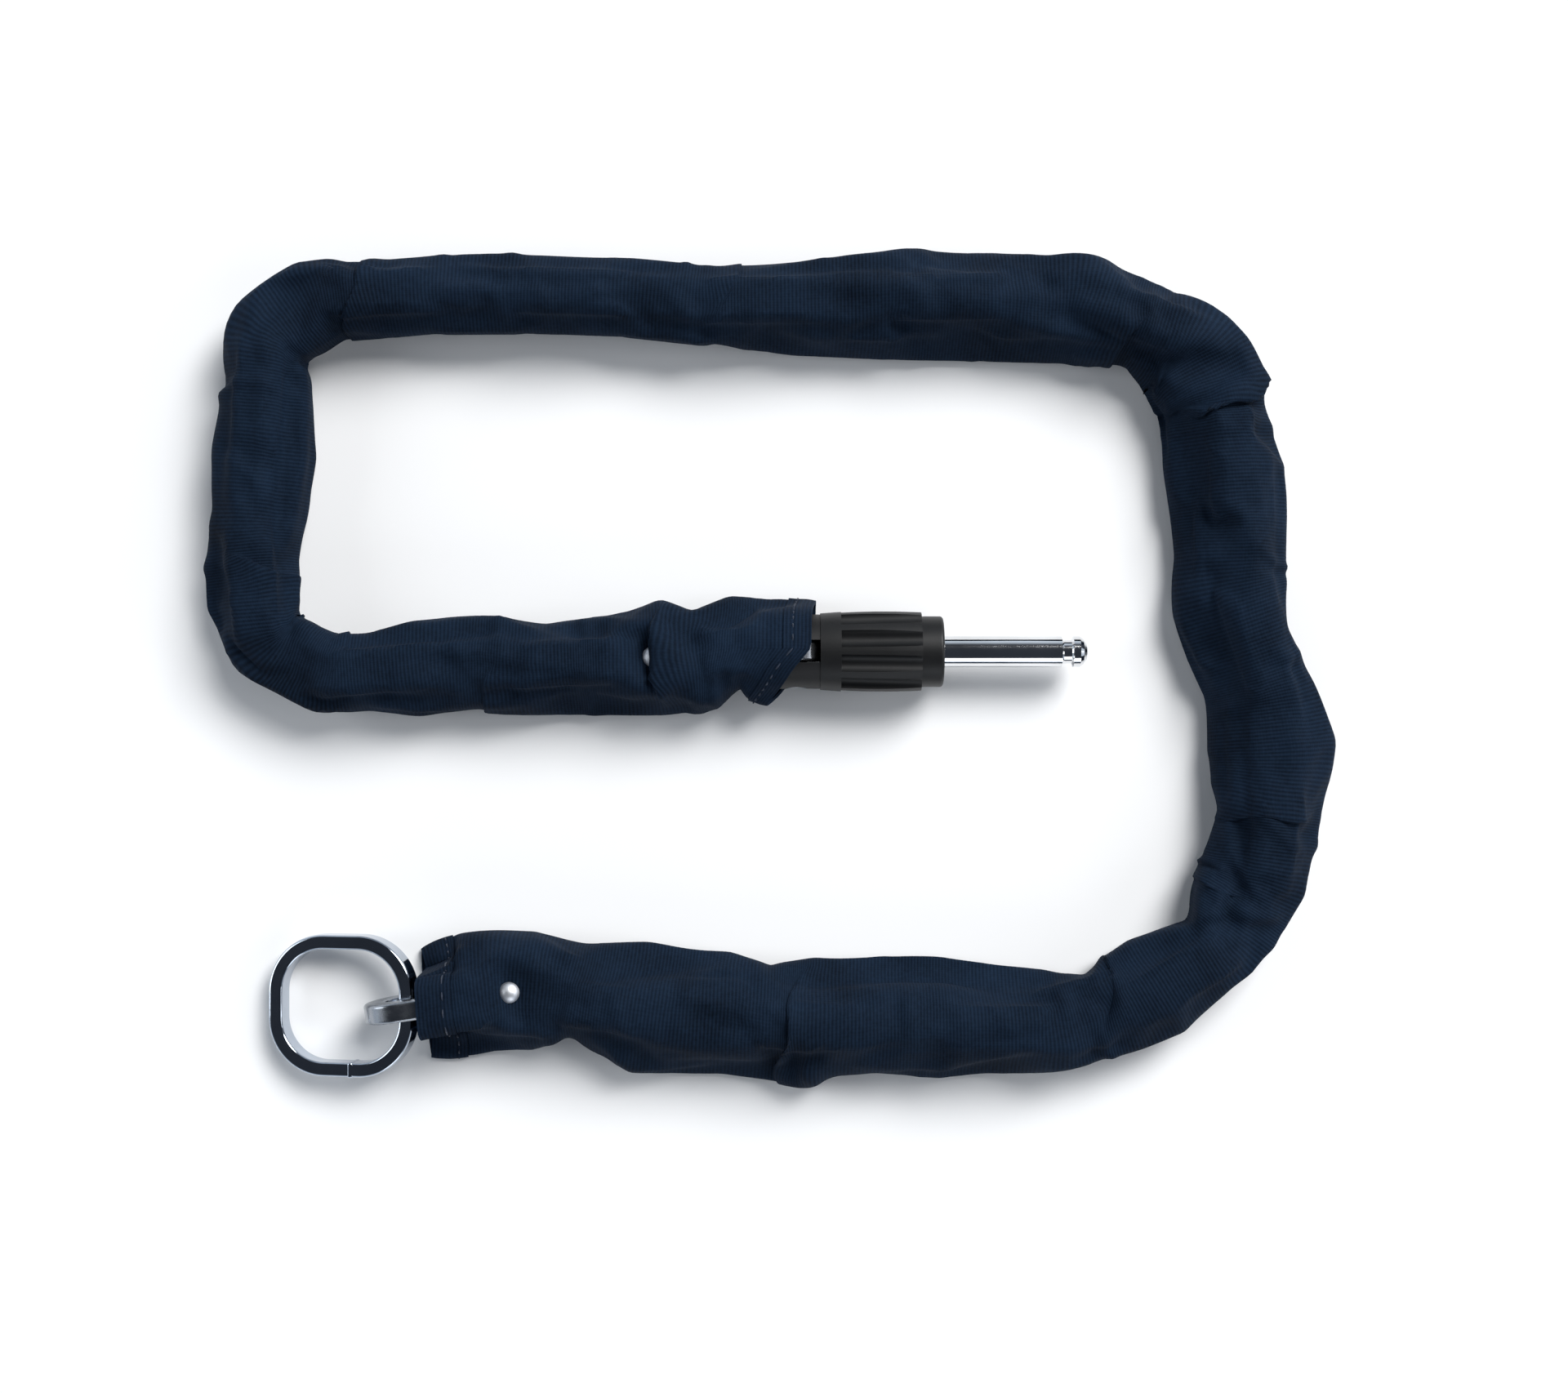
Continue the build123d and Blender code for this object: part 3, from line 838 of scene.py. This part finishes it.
# Each stretch of the sleeve, from the ring to the plug: its CAD node, the joint that it bends at, and the
# two bodies that it joins, the one nearer the ring first.
STRETCHES = [
    ("sleeve_01", "bottom_fold", "ring_end_run", "bottom_run"),
    ("sleeve_02", "lower_right_fold", "bottom_run", "lower_right_run"),
    ("sleeve_03", "right_fold", "lower_right_run", "right_run"),
    ("sleeve_04", "upper_right_fold", "right_run", "upper_right_run"),
    ("sleeve_05", "top_right_fold", "upper_right_run", "top_run"),
    ("sleeve_06", "top_middle_fold", "top_run", "top_left_run"),
    ("sleeve_07", "top_left_fold", "top_left_run", "left_run"),
    ("sleeve_08", "left_fold", "left_run", "inner_run"),
    ("sleeve_09", "inner_fold", "inner_run", "plug_run"),
    ("sleeve_10", "plug_swing", "plug_run", "plug_link"),
]


def settled_cloth():
    """The sleeve's outer surface, its rows' distances along the chain, and the cloth's length at each."""
    points, row_at = start_tube()
    points = settle_cloth(points)
    points = fit_outline(points, row_at)
    for _ in range(2):
        points = soften(clear_of_chain(points, CLOTH + 0.4 * MM), 0.35)
    points = refine(points)
    distance, used = (refine_rows(values) for values in rows_along(ROWS))
    points = clear_of_chain(points, CLOTH + 0.3 * MM)
    points = soften(points, 0.5)
    row_at = np.repeat(distance[:, None], points.shape[1], 1)
    points = crease(points, row_at, grid_normals(points))
    points = pucker(points, row_at, grid_normals(points))
    points = clear_of_chain(points, CLOTH + 0.2 * MM)
    points = shape_mouths(points, row_at)
    points = fold_over(points, row_at, grid_normals(points))
    points = clear_of_chain(points, CLOTH + 0.2 * MM)
    points[..., 2] = np.clip(points[..., 2], FLOOR_Z + 0.1 * MM, -FLOOR_Z + 3 * MM)
    return points, distance, used


def stitch(start, end, out, radius):
    """One stitch: a bowed thread between two points on the cloth."""
    sides, rings = 5, 5
    start, end = np.array(start), np.array(end)
    along = (end - start) / np.linalg.norm(end - start)
    across = np.cross(along, out)
    verts = []
    for r in range(rings):
        t = r / (rings - 1)
        rise = radius * (1.2 * math.sin(math.pi * t) - 0.2)
        thin = radius * (0.45 + 0.55 * math.sin(math.pi * t))
        for k in range(sides):
            a = k / sides * 2 * math.pi
            round_it = out * math.cos(a) + across * math.sin(a)
            verts.append(start + (end - start) * t + out * rise + round_it * thin)
    faces = grid_faces(rings, sides)
    faces.append(tuple(range(sides)))
    faces.append(tuple(range((rings - 1) * sides, rings * sides))[::-1])
    return verts, faces


def build_stitches(name, points, normal, row):
    """A row of stitches right round the tube, none of them below the floor."""
    verts, faces = [], []
    columns = points.shape[1]
    for column in range(0, columns - 1, 2):
        out = normal[row, column]
        lift = out * HEM_PROUD
        more, made = stitch(points[row, column] + lift, points[row, column + 1] + lift, out, STITCH_R)
        faces += [tuple(k + len(verts) for k in face) for face in made]
        verts += more
    verts = [(x, y, max(z, FLOOR_Z)) for x, y, z in verts]
    return make_object(name, verts, faces)


def build_hem(name, body, points, normal, used, rows, cloth, thread):
    """The cloth turned in at a mouth, a thicker band with stitches; its rows run from the mouth inwards."""
    mouth, edge = rows
    outer = points + normal * HEM_PROUD
    outer[..., 2] = np.maximum(outer[..., 2], FLOOR_Z)
    band = shell(name, outer, points - normal * HEM_INNER, normal, used, min(rows), max(rows))
    band.data.materials.append(cloth)
    sewn = edge - 2 if edge > mouth else edge + 2      # the stitches run two rows inside the hem's edge
    stitches = build_stitches(name + "_stitches", points, normal, sewn)
    stitches.data.materials.append(thread)
    for obj in (band, stitches):
        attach(obj, body)
    return [band, stitches]


def build_sleeve(cloth, hem_cloth, thread):
    """The sleeve's ten stretches, each cut so that one joint lies inside it, and the hems at its two mouths.
    """
    points, distance, used = settled_cloth()
    normal = grid_normals(points)
    inner = points - normal * CLOTH
    folds = [ROUTE.distance_of(JOINTS[joint]["pos_m"]) for _, joint, _, _ in STRETCHES]
    cuts = [0.0] + [(a + b) / 2 for a, b in zip(folds, folds[1:])] + [ROUTE.length]
    edges = [int(np.abs(distance - cut).argmin()) for cut in cuts]
    spacing = used[1] - used[0]
    end = len(used) - 1
    rows = (0, int(round(RING_HEM / spacing)))
    ring_hem = build_hem("ring_hem", "ring_end_run", points, normal, used, rows, hem_cloth, thread)
    rows = (end, end - int(round(PLUG_HEM / spacing)))
    plug_hem = build_hem("plug_hem", "plug_link", points, normal, used, rows, hem_cloth, thread)
    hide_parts("hem_ring_end")
    bars_at = [ROUTE.distance_of(bar) for bar in BARS[:LINK_COUNT]]
    for (node, _, before, after), fold, first, last in zip(STRETCHES, folds, edges, edges[1:]):
        piece = shell(node.replace("sleeve", "sleeve_cloth"), points, inner, normal, used, first, last)
        piece.data.materials.append(cloth)
        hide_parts(node)
        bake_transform(piece)


def paint_cad():
    """Materials for the CAD nodes that stay in sight."""
    links = metal("plated_steel", (0.36, 0.38, 0.41), 0.26, 0.3)
    ring = metal("polished_ring", (0.52, 0.57, 0.64), 0.10, 0.12)
    pin = metal("chromed_pin", (0.86, 0.87, 0.88), 0.08, 0.06)
    rivets = metal("rivet_steel", (0.84, 0.86, 0.90), 0.50, 0.2)
    fork = plastic("black_coating", (0.0045, 0.0045, 0.005), 0.45)
    black = plastic("plug_plastic", (0.0050, 0.0052, 0.0056), 0.40)
    for name in frame["nodes"]:
        if name.startswith("chain_link"):
            paint_node(name, links)
        elif "rivet" in name:
            paint_node(name, rivets)
    for name, material in (
        ("end_ring", ring), ("plug_pin", pin), ("plug_fork", fork), ("cross_pin", links),
        ("plug_cover", black), ("plug_collar", black),
    ):
        paint_node(name, material)


def look_down_camera():
    """The camera above the middle of the picture, with the chain's own level 430 mm wide in it."""
    centre = (-43.5 * MM, -12.3 * MM)
    width = 430 * MM
    height = 0.60
    data = bpy.data.cameras.new("camera")
    data.sensor_width = 36
    data.lens = 36 * height / width
    camera = bpy.data.objects.new("camera", data)
    camera.location = (*centre, height)
    bpy.context.collection.objects.link(camera)
    bpy.context.scene.camera = camera


def area_light(name, place, size, power, target=(-0.04, -0.01, 0), colour=(1, 1, 1)):
    data = bpy.data.lights.new(name, "AREA")
    data.size = size
    data.energy = power
    data.color = colour
    light = bpy.data.objects.new(name, data)
    light.location = place
    light.rotation_euler = (Vector(target) - Vector(place)).to_track_quat("-Z", "Y").to_euler()
    bpy.context.collection.objects.link(light)


def sky_light(place, power, angle):
    """A broad soft light from far off, even over the whole floor."""
    data = bpy.data.lights.new("sky", "SUN")
    data.energy = power
    data.angle = angle
    light = bpy.data.objects.new("sky", data)
    light.location = place
    light.rotation_euler = (-Vector(place)).to_track_quat("-Z", "Y").to_euler()
    bpy.context.collection.objects.link(light)


def pale_surround():
    """A pale horizon that darkens overhead, as the floor and the metal see it."""
    world = bpy.data.worlds.new("studio")
    bpy.context.scene.world = world
    world.use_nodes = True
    tree = world.node_tree
    background = tree.nodes["Background"]
    coordinates = tree.nodes.new("ShaderNodeTexCoord")
    split = tree.nodes.new("ShaderNodeSeparateXYZ")
    ramp = tree.nodes.new("ShaderNodeValToRGB")
    tree.links.new(coordinates.outputs["Generated"], split.inputs[0])
    tree.links.new(split.outputs[2], ramp.inputs["Fac"])
    tree.links.new(ramp.outputs["Color"], background.inputs["Color"])
    stops = ramp.color_ramp.elements
    stops[0].position = 0.25
    stops[0].color = (0.62, 0.70, 0.80, 1)
    stops[1].position = 0.62
    stops[1].color = (0.03, 0.035, 0.045, 1)
    background.inputs["Strength"].default_value = 1.0


def studio():
    """A pale floor, and soft light that comes mostly from the upper right."""
    floor = make_square("floor", 6.0, FLOOR_Z)
    n = Nodes("pale_floor")
    n.set(Roughness=0.9, Specular_IOR_Level=0.1)
    n.shader.inputs["Base Color"].default_value = (0.88, 0.88, 0.88, 1)
    floor.data.materials.append(n.material)
    pale_surround()
    bpy.context.scene.view_settings.view_transform = "Standard"
    sky_light((0.62, 0.80, 1.0), 2.3, math.radians(34))
    area_light("key", (0.66, 0.84, 1.0), 0.6, 12)
    area_light("right", (1.4, -0.2, 0.7), 0.8, 5, colour=(0.97, 0.98, 1.0))
    area_light("left", (-1.4, 0.1, 0.7), 0.8, 6, colour=(0.92, 0.96, 1.0))
    area_light("front", (0.2, -1.5, 0.7), 0.8, 4, colour=(0.95, 0.97, 1.0))


look_down_camera()
studio()
paint_cad()
navy = fabric("navy_weave", (0.0012, 0.0036, 0.0085), (0.0085, 0.0190, 0.0390))
hem_navy = fabric("navy_hem", (0.0012, 0.0034, 0.0080), (0.0080, 0.0175, 0.0360))
build_sleeve(navy, hem_navy, navy_thread())
